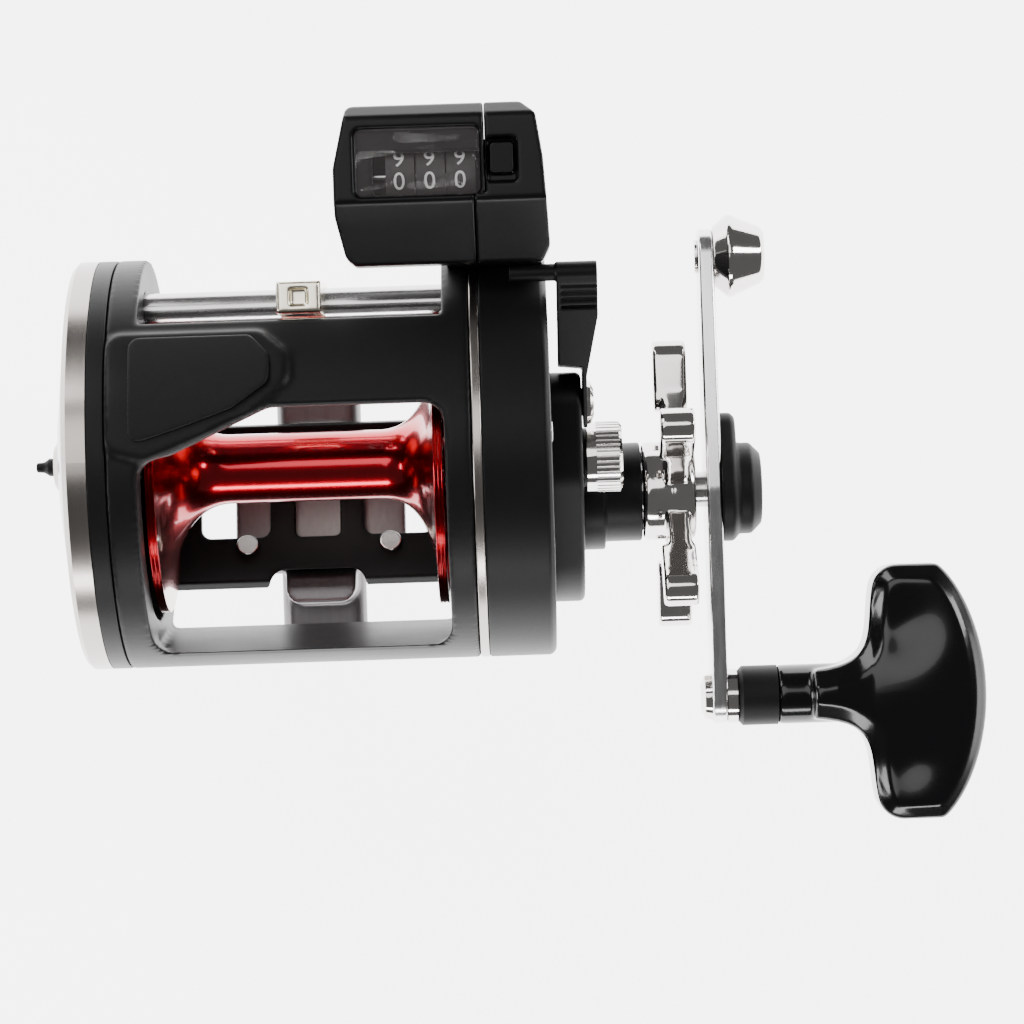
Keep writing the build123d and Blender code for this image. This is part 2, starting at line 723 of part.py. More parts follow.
# ---- Knob: matte sleeve and the paddle grip that turn together on the post ----
sleeve_start = collar_end + 0.1
grip_start = 78.0
grip_end = 113.4
neck_radius = 5.1
grip_half = 21.7
sleeve_profile = [
    (sleeve_start, 0),
    (sleeve_start, 4.3),
    (72.0, neck_radius),
    (grip_start, neck_radius),
    (grip_start, 0),
]
with BuildPart() as knob_sleeve:
    turn(
        sleeve_profile,
        knob_centre,
    )
    bore(sleeve_start, grip_start, post_radius + running_fit, knob_centre)
knob_sleeve.part.label = "knob_sleeve"
export_step(knob_sleeve.part, "parts/knob_sleeve.step")

grip_thickness = 15.0
knob_y, knob_z = knob_centre
with BuildPart() as knob_grip:
    disc(grip_start, 93.0, neck_radius, knob_centre)
    with BuildSketch(Plane.XY.offset(knob_z - grip_thickness / 2)) as paddle:
        with BuildLine():
            Bezier(
                (84, knob_y + 4.2),
                (91, knob_y + 5.0),
                (94.6, knob_y + 6.0),
                (93.2, knob_y + 12),
                (94.4, knob_y + 18),
            )
            ThreePointArc((94.4, knob_y + 18), (96.2, knob_y + 20.9), (99.4, knob_y + grip_half))
            Line((99.4, knob_y + grip_half), (105.6, knob_y + grip_half))
            Bezier(
                (105.6, knob_y + grip_half),
                (110.0, knob_y + 18),
                (grip_end, knob_y + 9),
                (grip_end, knob_y),
            )
            Line((grip_end, knob_y), (84, knob_y))
            Line((84, knob_y), (84, knob_y + 4.2))
        make_face()
        mirror(about=Plane.XZ.offset(-knob_y))
    extrude(paddle.sketch, amount=grip_thickness)
    chamfer(knob_grip.faces().filter_by(Axis.Z).edges().filter_by_position(Axis.X, 96, 120), 2.5)
    bore(grip_start, post_end + 1, post_radius + running_fit, knob_centre)
knob_grip.part.label = "knob_grip"
export_step(knob_grip.part, "parts/knob_grip.step")

# ---- Level wind: tube with its worm shaft, guide rod and line guide ----
with BuildPart() as worm_tube:
    disc(left_ring_outer, bridge_end, tube_radius, worm_centre, hole=2.2)
    with BuildSketch(Plane.XZ.offset(-worm_centre[0])) as tube_slot:
        with Locations((-1.25, worm_centre[1] - 2.5)):
            Rectangle(48, 2)
    extrude(tube_slot.sketch, amount=0.9, both=True, mode=Mode.SUBTRACT)
worm_tube.part.label = "worm_tube"
export_step(worm_tube.part, "parts/worm_tube.step")

with BuildPart() as worm_shaft:
    disc(-31.4, 35.6, 1.5, worm_centre)
    disc(-27, 24.6, 2.0, worm_centre)
worm_shaft.part.label = "worm_shaft"
export_step(worm_shaft.part, "parts/worm_shaft.step")

with BuildPart() as guide_rod:
    disc(left_ring_outer, right_ring_outer, 1.5, rod_centre)
guide_rod.part.label = "guide_rod"
export_step(guide_rod.part, "parts/guide_rod.step")

guide_middle = 0.6
guide_y = 29.4
guide_half = 3.6
head_top = 63.0
with BuildPart() as line_guide:
    round_plate([(worm_centre, 3.8), (rod_centre, 2.8)], guide_middle - guide_half, guide_middle + guide_half)
    with BuildSketch(Plane.XY.offset(worm_centre[1])) as guide_post:
        with Locations((guide_middle, guide_y)):
            Rectangle(2 * guide_half, 5.2)
    extrude(guide_post.sketch, amount=head_top - worm_centre[1])
    fillet(line_guide.edges().group_by(Axis.Z)[-1], 0.6)
    with BuildSketch(Plane.XZ.offset(-worm_centre[0])) as guide_window:
        with Locations((guide_middle, 56.6)):
            RectangleRounded(5.6, 6.8, 2.4)
    extrude(guide_window.sketch, amount=4, both=True, mode=Mode.SUBTRACT)
    with BuildSketch(Plane.XY.offset(head_top - 1.4)) as top_pocket:
        with Locations((guide_middle, guide_y)):
            Rectangle(2.8, 2.8)
    extrude(top_pocket.sketch, amount=2, mode=Mode.SUBTRACT)
    bore(-10, 10, tube_radius + running_fit, worm_centre)
    bore(-10, 10, 1.5 + running_fit, rod_centre)
    with BuildSketch(Plane.XY.offset(41.9)) as pawl_hole:
        with Locations((guide_middle, worm_centre[0])):
            Circle(0.9)
    extrude(pawl_hole.sketch, amount=4, mode=Mode.SUBTRACT)
line_guide.part.label = "line_guide"
export_step(line_guide.part, "parts/line_guide.step")

with BuildPart() as guide_eye:
    with BuildSketch(Plane.XZ.offset(-guide_y)) as eye_ring:
        with Locations((guide_middle, 56.6)):
            RectangleRounded(5.6, 6.8, 2.4)
            RectangleRounded(4.6, 5.8, 2.0, mode=Mode.SUBTRACT)
    extrude(eye_ring.sketch, amount=2.6, both=True)
guide_eye.part.label = "guide_eye"
export_step(guide_eye.part, "parts/guide_eye.step")

with BuildPart() as pawl:
    with BuildSketch(Plane.XY.offset(42.1)) as pawl_stem:
        with Locations((guide_middle, worm_centre[0])):
            Circle(0.9)
    extrude(pawl_stem.sketch, amount=3.0)
    with BuildSketch(Plane.XY.offset(45.1)) as pawl_blade:
        with Locations((guide_middle, worm_centre[0])):
            Rectangle(1.4, 0.8)
    extrude(pawl_blade.sketch, amount=0.8)
pawl.part.label = "pawl"
export_step(pawl.part, "parts/pawl.step")

with BuildPart() as idler_gear:
    slab(gear_points(idler_teeth, gear_module, idler_first, idler_centre), train_start, train_end)
    bore(train_start, train_end, 1.0 + running_fit, idler_centre)
idler_gear.part.label = "idler_gear"
export_step(idler_gear.part, "parts/idler_gear.step")

with BuildPart() as worm_gear:
    slab(gear_points(worm_teeth, gear_module, worm_first, worm_centre), train_start, 35.6)
    bore(train_start, 35.6, 1.5, worm_centre)
worm_gear.part.label = "worm_gear"
export_step(worm_gear.part, "parts/worm_gear.step")

# ---- Foot and the bracket that it is riveted to ----
foot_length = 61.0
foot_width = 15.0
blade_height = 3.0
bracket_inner = 31.4
bracket_outer = 33.4
rivet_angle = 207.6
with BuildPart() as foot:
    with BuildSketch() as blade:
        RectangleRounded(foot_width, foot_length, 5.0)
    extrude(blade.sketch, amount=blade_height)
    fillet(foot.edges().group_by(Axis.Z)[-1], 2.4)
    with BuildSketch(Plane.XY.offset(1.0)) as pedestal:
        with Locations((0, -5.5)):
            RectangleRounded(12.4, 31, 3)
    extrude(pedestal.sketch, amount=14)
    sector(bracket_outer, bracket_outer + 1.8, 190, 214, -15, 15)
    disc(-20, 20, bracket_outer, plate_centre, mode=Mode.SUBTRACT)
foot.part.label = "foot"
export_step(foot.part, "parts/foot.step")

with BuildPart() as foot_bracket:
    sector(bracket_inner, bracket_outer, 168, 221, left_ring_inner, right_ring_inner)
    for cutout_x in (-14.8, 13.8):
        plan_cut(
            [(cutout_x - 6, -9.2), (cutout_x + 6, -9.2), (cutout_x + 6, -0.5), (cutout_x - 6, -0.5)],
            1.6,
            0,
            20,
            mode=Mode.SUBTRACT,
        )
    plan_cut([(-4.3, -9.3), (3.5, -9.3), (3.5, -0.5), (-4.3, -0.5)], 0.9, 0, 20, mode=Mode.SUBTRACT)
    plan_cut([(-12.5, -30), (11.5, -30), (7.2, -15.0), (-8.2, -15.0)], 2.6, 0, 20, mode=Mode.SUBTRACT)
foot_bracket.part.label = "foot_bracket"
export_step(foot_bracket.part, "parts/foot_bracket.step")

rivet_seat = polar(plate_centre, bracket_inner, rivet_angle)
with BuildPart() as foot_rivets:
    for rivet_x in (-12.7, 12.3):
        head_plane = Plane(
            origin=(rivet_x, *rivet_seat),
            x_dir=(1, 0, 0),
            z_dir=(0, -sin(radians(rivet_angle)), -cos(radians(rivet_angle))),
        )
        with BuildSketch(head_plane) as head_outline:
            Circle(2.15)
        extrude(head_outline.sketch, amount=0.9, taper=20)
    sector(bracket_inner, bracket_outer, 168, 221, left_ring_inner, right_ring_inner, mode=Mode.SUBTRACT)
foot_rivets.part.label = "foot_rivets"
export_step(foot_rivets.part, "parts/foot_rivets.step")

# ---- Counter bracket: carries the counter on the right side plate's rim ----
bracket_start = 24.4
bracket_points = [(30, 41), (37, 34), (44, 40), (54, 54), (54, 60), (37.5, 60), (36.5, 57), (30, 51)]
with BuildPart() as counter_bracket:
    slab(bracket_points, bracket_start, right_plate_face - 0.4)
    disc(bracket_start, right_plate_face, plate_radius, plate_centre, mode=Mode.SUBTRACT)
    shaft_bore(-6, 40, 2.4)
counter_bracket.part.label = "counter_bracket"
export_step(counter_bracket.part, "parts/counter_bracket.step")

drive_shaft_steps = [
    (-4.0, shaft_reach + 4.0, 1.0),
    (-2.6, 2.6, 1.85),
    (shaft_reach - 3, shaft_reach + 3, 1.6),
]
with BuildPart() as counter_drive_shaft:
    for start, end, radius in drive_shaft_steps:
        with BuildSketch(shaft_plane.offset(start)) as shaft_section:
            Circle(radius)
        extrude(shaft_section.sketch, amount=end - start)
counter_drive_shaft.part.label = "counter_drive_shaft"
export_step(counter_drive_shaft.part, "parts/counter_drive_shaft.step")

# ---- Counter housing: main shell with the window, and the end cover with the reset button ----
housing_left = 7.3
housing_right = 41.2
housing_back = 33.7
housing_front = 58.5
housing_bottom = 60.0
housing_top = 75.2
housing_wall = 1.5
window_back = 43.8
window_front = 54.6
window_left = 10.7
window_right = 30.6
wheel_radius = 5.8


housing_plan = [
    (9.6, 58.5),
    (7.3, 48.5),
    (7.3, 41.0),
    (8.6, 35.0),
    (11.4, 32.6),
    (39.4, 32.6),
    (41.2, 36.0),
    (40.4, 49.5),
    (39.4, 56.4),
    (37.0, 58.5),
]
end_wall = 3.6
crease_y = 43.0
split_x = 31.3
lower_split_x = 29.5
split_y = 44.0


def housing_block(inset, end_inset=0, mode=Mode.ADD):
    """The housing's side outline, inset by a wall all round and by more at its two ends."""
    points = [
        (housing_back + inset, housing_bottom + inset),
        (housing_back + inset, 66.0 - inset / 3),
        (crease_y + inset / 3, housing_top - inset),
        (56.4 - inset / 3, housing_top - inset),
        (housing_front - inset, 72.6 - inset / 3),
        (housing_front - inset, housing_bottom + inset),
    ]
    with BuildSketch(Plane.YZ.offset(housing_left + end_inset)) as outline:
        with BuildLine():
            Polyline(*points, close=True)
        make_face()
        fillet(outline.vertices(), 1.4)
    extrude(outline.sketch, amount=housing_right - housing_left - 2 * end_inset, mode=mode)


def housing_half(left, gap):
    """Keep the part of the housing on one side of its stepped split."""
    near = lower_split_x + gap
    far = split_x + gap
    end = 0 if left else 60
    step = split_y + gap
    plan_cut([(end, 20), (near, 20), (near, step), (far, step), (far, 70), (end, 70)], 0, 50, 90)


with BuildPart() as counter_housing:
    housing_block(0)
    plan_cut(housing_plan, 1.4, 50, 90)
    housing_block(housing_wall, end_wall, mode=Mode.SUBTRACT)
    disc(housing_left + 0.6, housing_left + 3.2, 2.6, counter_centre)
    housing_half(True, -0.1)
    bore(housing_left + 1.6, housing_left + 4, 1.0, counter_centre)
    with BuildSketch(Plane.XY.offset(housing_top - 1)) as seat:
        with Locations(((window_left + window_right) / 2, (window_back + window_front) / 2)):
            RectangleRounded(window_right - window_left, window_front - window_back, 1.2)
    extrude(seat.sketch, amount=2, mode=Mode.SUBTRACT)
    with BuildSketch(Plane.XY.offset(housing_top - 3)) as digit_opening:
        with Locations((22.0, 47.4)):
            Rectangle(16.8, 6.4)
    extrude(digit_opening.sketch, amount=4, mode=Mode.SUBTRACT)
counter_housing.part.label = "counter_housing"
export_step(counter_housing.part, "parts/counter_housing.step")

with BuildPart() as counter_window:
    with BuildSketch(Plane.XY.offset(housing_top - 1)) as pane:
        with Locations(((window_left + window_right) / 2, (window_back + window_front) / 2)):
            RectangleRounded(window_right - window_left, window_front - window_back, 1.2)
    extrude(pane.sketch, amount=1)
counter_window.part.label = "counter_window"
export_step(counter_window.part, "parts/counter_window.step")

button_x = 33.9
button_y = 49.4
button_size = (3.6, 4.6)
recess_depth = 0.9
with BuildPart() as counter_end_cover:
    housing_block(0)
    plan_cut(housing_plan, 1.4, 50, 90)
    housing_block(housing_wall, end_wall, mode=Mode.SUBTRACT)
    disc(housing_right - 3.4, housing_right - 0.8, 2.6, counter_centre)
    housing_half(False, 0)
    bore(housing_right - 4, housing_right - 1.6, 1.0, counter_centre)
    with BuildSketch(Plane.XY.offset(housing_top - recess_depth)) as recess:
        with Locations((button_x, button_y - 0.3)):
            RectangleRounded(4.8, 7.0, 0.6)
    extrude(recess.sketch, amount=2, mode=Mode.SUBTRACT)
    with BuildSketch(Plane.XY.offset(housing_top - 3)) as button_hole:
        with Locations((button_x, button_y)):
            RectangleRounded(button_size[0] + 0.2, button_size[1] + 0.2, 0.6)
    extrude(button_hole.sketch, amount=4, mode=Mode.SUBTRACT)
    shaft_bore(16, 27, 2.4)
counter_end_cover.part.label = "counter_end_cover"
export_step(counter_end_cover.part, "parts/counter_end_cover.step")

with BuildPart() as reset_button:
    with BuildSketch(Plane.XY.offset(housing_top - 1.6)) as button_cap:
        with Locations((button_x, button_y)):
            RectangleRounded(*button_size, 0.5)
    extrude(button_cap.sketch, amount=2.2)
reset_button.part.label = "reset_button"
export_step(reset_button.part, "parts/reset_button.step")

with BuildPart() as counter_shaft:
    disc(housing_left + 1.6, housing_right - 1.6, 1.0, counter_centre)
counter_shaft.part.label = "counter_shaft"
export_step(counter_shaft.part, "parts/counter_shaft.step")

# ---- Number wheels: hundreds, tens and ones, the ones wheel with its worm wheel ----
wheel_width = 4.5
wheel_starts = {"hundreds_wheel": 15.6, "tens_wheel": 20.4, "ones_wheel": 25.2}
worm_wheel_start = drive_shaft_station - 1.2
for wheel_name, wheel_start in wheel_starts.items():
    with BuildPart() as number_wheel:
        disc(wheel_start, wheel_start + wheel_width, wheel_radius, counter_centre)
        if wheel_name == "ones_wheel":
            disc(wheel_start + wheel_width, worm_wheel_start, 2.4, counter_centre)
            disc(worm_wheel_start, worm_wheel_start + 2.4, 3.9, counter_centre)
        bore(wheel_start, worm_wheel_start + 2.4, 1.0 + running_fit, counter_centre)
    number_wheel.part.label = wheel_name
    export_step(number_wheel.part, f"parts/{wheel_name}.step")

# ---- Screws ----
screw_top = right_plate_face + 0.2
with BuildPart() as plate_screws:
    for screw_angle in (5, 125, 250):
        turn(
            [(right_plate_face, 0), (right_plate_face, 1.7), (screw_top, 1.5), (screw_top, 0)],
            polar(plate_centre, 29.6, screw_angle),
        )
    for screw_angle in (45, 165, 285):
        left_place = polar(plate_centre, 29, screw_angle)
        turn([(-34.2, 0), (-34.2, 1.9), (left_cover_rim, 1.9), (left_cover_rim, 0)], left_place)
plate_screws.part.label = "plate_screws"
export_step(plate_screws.part, "parts/plate_screws.step")
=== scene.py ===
import json
import math
import bmesh
import bpy
import numpy as np
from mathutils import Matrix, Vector

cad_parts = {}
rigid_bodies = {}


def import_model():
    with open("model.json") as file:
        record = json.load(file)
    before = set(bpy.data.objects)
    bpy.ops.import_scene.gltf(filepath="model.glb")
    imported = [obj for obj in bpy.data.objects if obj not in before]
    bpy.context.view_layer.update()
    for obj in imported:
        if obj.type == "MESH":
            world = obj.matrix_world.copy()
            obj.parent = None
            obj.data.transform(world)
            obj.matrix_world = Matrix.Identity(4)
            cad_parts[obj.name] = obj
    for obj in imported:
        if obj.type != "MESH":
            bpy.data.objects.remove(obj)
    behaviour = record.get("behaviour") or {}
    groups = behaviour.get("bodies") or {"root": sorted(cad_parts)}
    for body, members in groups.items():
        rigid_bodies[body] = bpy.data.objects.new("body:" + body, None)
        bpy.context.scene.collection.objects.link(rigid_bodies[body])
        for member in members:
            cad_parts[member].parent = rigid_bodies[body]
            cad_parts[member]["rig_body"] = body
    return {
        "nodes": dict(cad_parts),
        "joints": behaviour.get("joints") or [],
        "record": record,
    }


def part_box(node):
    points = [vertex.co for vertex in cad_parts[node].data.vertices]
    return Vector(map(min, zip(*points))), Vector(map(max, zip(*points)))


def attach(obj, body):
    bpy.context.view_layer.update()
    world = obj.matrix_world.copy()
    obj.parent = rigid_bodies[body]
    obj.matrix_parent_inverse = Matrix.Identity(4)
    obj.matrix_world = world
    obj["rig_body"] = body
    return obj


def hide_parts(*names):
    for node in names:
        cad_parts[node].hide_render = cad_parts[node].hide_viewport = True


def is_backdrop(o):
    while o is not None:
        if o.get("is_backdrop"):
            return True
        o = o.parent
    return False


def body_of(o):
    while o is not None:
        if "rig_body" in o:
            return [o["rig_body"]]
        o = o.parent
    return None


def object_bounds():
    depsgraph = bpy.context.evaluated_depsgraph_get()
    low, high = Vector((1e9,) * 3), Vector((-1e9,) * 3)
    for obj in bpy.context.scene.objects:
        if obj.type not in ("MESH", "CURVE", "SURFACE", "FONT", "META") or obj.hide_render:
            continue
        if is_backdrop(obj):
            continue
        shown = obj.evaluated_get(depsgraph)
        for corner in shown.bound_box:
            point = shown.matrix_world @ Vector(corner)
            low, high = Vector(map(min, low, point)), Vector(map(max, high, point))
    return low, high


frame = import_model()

mm = 0.001
cadLow, cadHigh = (list(corner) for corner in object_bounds())
nodes = frame["nodes"]
joints = {joint["name"]: joint for joint in frame["joints"]}
scene = bpy.context.scene


def jointPlace(name):      # where a joint's axis lies, as (Y, Z) in metres
    return joints[name]["pos_m"][1:]


mainY, mainZ = jointPlace("handle_turn")
knobY, knobZ = jointPlace("knob_spin")
spoolY, spoolZ = jointPlace("spool_turn")
wheelY, wheelZ = jointPlace("ones_turn")
wormY, wormZ = jointPlace("worm_turn")


# Shader sums are written as expressions: a Signal is a socket that can be added, multiplied and so on.
class Signal:
    def __init__(self, tree, socket):
        self.tree = tree
        self.socket = socket

    def sum(self, operation, other, swapped=False):
        maths = self.tree.nodes.new("ShaderNodeMath")
        maths.operation = operation
        pair = (other, self) if swapped else (self, other)
        for slot, value in zip(maths.inputs, pair):
            if isinstance(value, Signal):
                self.tree.links.new(value.socket, slot)
            elif value is not None:
                slot.default_value = value
        return Signal(self.tree, maths.outputs[0])

    def __add__(self, other):
        return self.sum("ADD", other)

    def __radd__(self, other):
        return self.sum("ADD", other, True)

    def __mul__(self, other):
        return self.sum("MULTIPLY", other)

    def __pow__(self, other):
        return self.sum("POWER", other)


class Finish:      # one material: its nodes, and the Principled shader that they feed
    def __init__(self, name, color, metallic=0.0, rough=0.5, coat=0.0, coatRough=0.03, specular=0.5):
        self.material = bpy.data.materials.new(name)
        self.material.use_nodes = True
        self.tree = self.material.node_tree
        self.shader = self.tree.nodes["Principled BSDF"]
        self.color = color
        self.set("Base Color", (*color, 1))
        self.set("Metallic", metallic)
        self.set("Roughness", rough)
        self.set("Coat Weight", coat)
        self.set("Coat Roughness", coatRough)
        self.set("Specular IOR Level", specular)
        self.place = self.node("ShaderNodeTexCoord", output="Object")

    def set(self, name, value):
        if isinstance(value, Signal):
            self.tree.links.new(value.socket, self.shader.inputs[name])
        else:
            self.shader.inputs[name].default_value = value

    def node(self, kind, settings=None, output=0, **inputs):
        made = self.tree.nodes.new(kind)
        for key, value in (settings or {}).items():
            if key == "stops":
                ramp = made.color_ramp
                while len(ramp.elements) < len(value):
                    ramp.elements.new(0.5)
                for element, (position, shade) in zip(ramp.elements, value):
                    element.position = position
                    element.color = (*shade, 1)
            else:
                setattr(made, key, value)
        for key, value in inputs.items():
            slot = made.inputs[int(key[1:])] if key[0] == "i" and key[1:].isdigit() else made.inputs[key]
            if isinstance(value, Signal):
                self.tree.links.new(value.socket, slot)
            else:
                slot.default_value = value
        return Signal(self.tree, made.outputs[output])

    def moved(self, centre=(0, 0, 0), turn=(0, 0, 0), scale=(1, 1, 1)):
        shifted = self.node("ShaderNodeVectorMath", {"operation": "SUBTRACT"}, i0=self.place, i1=centre)
        return self.node("ShaderNodeMapping", Vector=shifted, Rotation=turn, Scale=scale)

    def noise(self, scale, detail=3.0, where=None):
        return self.node("ShaderNodeTexNoise", output=0, Vector=where or self.place, Scale=scale, Detail=detail)

    def blend(self, mask, first, second):      # colours mixed by a mask
        return self.node("ShaderNodeMix", {"data_type": "RGBA"}, output=2, i0=mask, i6=first, i7=second)

    def bump(self, height, strength, depth):
        self.set("Normal", self.node("ShaderNodeBump", Height=height, Strength=strength, Distance=depth))

    def shades(self, mask, low, high):      # base colour from low to high times its own colour
        dark = (*[channel * low for channel in self.color], 1)
        light = (*[min(1, channel * high) for channel in self.color], 1)
        self.set("Base Color", self.blend(mask, dark, light))


# Each finish below is one look of this reel's own parts.
def satinPaint(name, color, rough=0.42, grain=0.00002, grainSize=900.0):
    paint = Finish(name, color, rough=rough, specular=0.12)
    cloud = paint.noise(60.0)
    grit = paint.noise(grainSize * 2, 2.0)
    paint.shades(cloud, 0.78, 1.25)
    paint.set("Roughness", rough - 0.06 + cloud * 0.1 + grit * 0.06)
    paint.bump(grit, 0.5, grain)
    return paint


def polishedChrome(name, color=(0.70, 0.67, 0.65), rough=0.07):
    chrome = Finish(name, color, metallic=1.0, rough=rough)
    haze = chrome.noise(140.0, 4.0)
    swirl = chrome.noise(900.0, 3.0)
    chrome.shades(haze, 0.86, 1.08)
    chrome.set("Roughness", rough * 0.6 + haze * rough * 0.7 + swirl * 0.03)
    chrome.bump(haze, 0.08, 0.00004)
    return chrome


def brushedMetal(name, color, rough=0.25, along=(1, 1, 1), scale=1500.0, depth=0.00001):
    metal = Finish(name, color, metallic=1.0, rough=rough)
    streak = metal.noise(scale, 4.0, metal.moved(scale=along))
    cloud = metal.noise(90.0)
    metal.shades(streak * 0.7 + cloud * 0.3, 0.75, 1.15)
    metal.set("Roughness", rough - 0.08 + streak * 0.16)
    metal.bump(streak, 0.5, depth)
    return metal


def turnedMetal(name, color, centre, rough=0.2, coat=0.0, lines=4200.0, depth=0.000006):
    metal = Finish(name, color, metallic=1.0, rough=rough, coat=coat)
    metal.turned = metal.moved(centre)
    away = metal.node("ShaderNodeSeparateXYZ", output=1, Vector=metal.turned)
    up = metal.node("ShaderNodeSeparateXYZ", output=2, Vector=metal.turned)
    along = metal.node("ShaderNodeSeparateXYZ", output=0, Vector=metal.turned)
    radius = (away * away + up * up) ** 0.5
    rings = metal.node("ShaderNodeCombineXYZ", X=along * 1.0, Y=radius)
    groove = metal.noise(lines, 2.0, rings)
    cloud = metal.noise(70.0)
    metal.shades(groove * 0.5 + cloud * 0.5, 0.82, 1.12)
    metal.set("Roughness", rough - 0.05 + groove * 0.1 + cloud * 0.03)
    metal.bump(groove, 0.4, depth)
    return metal


def mouldedPlastic(name, color, rough=0.3, coat=0.0, grain=0.00002, grainSize=2500.0, low=0.85, high=1.15,
                   specular=0.35):
    plastic = Finish(name, color, rough=rough, coat=coat, specular=specular)
    grit = plastic.noise(grainSize, 3.0)
    cloud = plastic.noise(50.0)
    plastic.shades(cloud * 0.6 + grit * 0.4, low, high)
    plastic.set("Roughness", rough - 0.04 + cloud * 0.06 + grit * 0.04)
    plastic.bump(grit, 0.35, grain)
    return plastic


def clearPane(name):
    pane = Finish(name, (0.10, 0.09, 0.09), rough=0.06, specular=0.3)
    scratch = pane.noise(400.0, 4.0, pane.moved(scale=(1, 6, 1)))
    pane.set("Roughness", 0.03 + scratch * 0.06)
    pane.set("Alpha", 0.10 + scratch * 0.10)
    pane.material.surface_render_method = "BLENDED"
    return pane


finishes = {
    "frame_paint": satinPaint("framePaint", (0.0065, 0.0062, 0.0065), rough=0.38),
    "plate_paint": satinPaint("platePaint", (0.0055, 0.0055, 0.0058), rough=0.40),
    "thumb_pad": mouldedPlastic("thumbPad", (0.006, 0.006, 0.0065), rough=0.55, grain=0.00004, grainSize=3200.0,
                                specular=0.14),
    "chrome_cover": turnedMetal("coverChrome", (0.36, 0.33, 0.31), (0, 0.0038, 0.038), rough=0.22, lines=900.0),
    "chrome_parts": polishedChrome("chromeParts"),
    "spool_red": turnedMetal("spoolRed", (0.42, 0.004, 0.014), (0, spoolY, spoolZ), rough=0.2, coat=0.6),
    "steel": brushedMetal("brightSteel", (0.60, 0.59, 0.58), rough=0.2, along=(0.1, 1, 1)),
    "foot_steel": brushedMetal("footSteel", (0.17, 0.16, 0.165), rough=0.42, along=(1, 0.08, 1)),
    "brass": turnedMetal("gearBrass", (0.72, 0.50, 0.20), (0, mainY, mainZ), rough=0.25),
    "gear_plastic": mouldedPlastic("gearPlastic", (0.78, 0.77, 0.72), rough=0.4),
    "drag_fibre": mouldedPlastic("dragFibre", (0.02, 0.02, 0.02), rough=0.6, grain=0.00008, grainSize=1500.0),
    "arm_aluminium": brushedMetal("armAluminium", (0.78, 0.77, 0.77), rough=0.2, along=(1, 0.05, 1)),
    "knob_black": mouldedPlastic("knobGloss", (0.0025, 0.0025, 0.003), rough=0.16, coat=0.15, grain=0.000003,
                                 specular=0.3),
    "matte_black": mouldedPlastic("matteBlack", (0.006, 0.006, 0.006), rough=0.5, grain=0.00003, specular=0.14),
    "counter_black": mouldedPlastic("counterBlack", (0.0030, 0.0030, 0.0034), rough=0.3, specular=0.16),
    "clear_window": clearPane("clearWindow"),
    "wheel_black": mouldedPlastic("wheelBlack", (0.055, 0.050, 0.050), rough=0.45),
    "guide_ivory": polishedChrome("guideIvory", (0.86, 0.80, 0.66), rough=0.2),
    "eye_ceramic": mouldedPlastic("eyeCeramic", (0.05, 0.05, 0.055), rough=0.12, coat=0.5, grain=0.000004),
}
slotOf = {part["node"]: part["material_slot"] for part in frame["record"]["subparts"]}
for name, node in nodes.items():
    node.data.materials.clear()
    node.data.materials.append(finishes[slotOf[name]].material)
print("finishes laid on", len(nodes), "CAD nodes")


# Pieces that replace a CAD node: a copy of its mesh, with its edges eased
def cleanCopy(name):
    mesh = nodes[name].data.copy()
    shape = bmesh.new()
    shape.from_mesh(mesh)
    bmesh.ops.remove_doubles(shape, verts=shape.verts, dist=0.002 * mm)
    bmesh.ops.dissolve_limit(shape, angle_limit=math.radians(0.6), verts=shape.verts, edges=shape.edges)
    for face in shape.faces:
        face.smooth = True
    shape.to_mesh(mesh)
    shape.free()
    if "custom_normal" in mesh.attributes:
        mesh.attributes.remove(mesh.attributes["custom_normal"])
    return mesh


# a finished mesh becomes a piece that rides on a body, and may stand for CAD nodes
def placed(mesh, pieceName, body, slotName, *standsFor):
    piece = bpy.data.objects.new(pieceName, mesh)
    scene.collection.objects.link(piece)
    if not mesh.materials:
        mesh.materials.append(finishes[slotName].material)
    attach(piece, body)
    if standsFor:
        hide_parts(*standsFor)
    return piece


def pieceNameOf(name):
    first, *rest = name.split("_")
    return first + "".join(word.capitalize() for word in rest) + "Eased"


def eased(name, width, segments=3):      # bevelled edges
    piece = placed(cleanCopy(name), pieceNameOf(name), body_of(nodes[name])[0], slotOf[name], name)
    bevel = piece.modifiers.new("edges", "BEVEL")
    bevel.width = width * mm
    bevel.segments = segments
    bevel.limit_method = "ANGLE"
    bevel.angle_limit = math.radians(35)
    bevel.use_clamp_overlap = False
    bevel.harden_normals = True
    return piece


def melted(name, grain, rounds):      # moulded or cast pieces, with soft edges and fillets
    piece = placed(cleanCopy(name), pieceNameOf(name), body_of(nodes[name])[0], slotOf[name], name)
    grid = piece.modifiers.new("grid", "REMESH")
    grid.mode = "VOXEL"
    grid.voxel_size = grain * mm
    grid.use_smooth_shade = True
    calm = piece.modifiers.new("calm", "SMOOTH")
    calm.factor = 0.5
    calm.iterations = rounds
    return piece


bevels = {
    "right_side_plate": 0.4, "trim_ring": 0.25, "left_side_plate": 0.3, "handle_arm": 0.5,
    "boss_plate": 0.4, "click_button": 0.3, "handle_nut": 0.2, "spool": 0.2,
    "plate_screws": 0.12,
}
for name, width in bevels.items():
    eased(name, width)
melts = {
    "knob_grip": (0.35, 22), "star_wheel": (0.30, 12), "nut_cover": (0.25, 8), "clutch_lever": (0.16, 3),
    "frame": (0.5, 4), "thumb_rest": (0.25, 6), "counter_housing": (0.25, 5), "counter_end_cover": (0.22, 5),
    "counter_bracket": (0.3, 3), "foot_bracket": (0.3, 3),
    "line_guide": (0.22, 4), "foot": (0.4, 6), "reset_button": (0.12, 3), "foot_rivets": (0.12, 3),
    "counterweight": (0.2, 4),
}
for name, (grain, rounds) in melts.items():
    melted(name, grain, rounds)


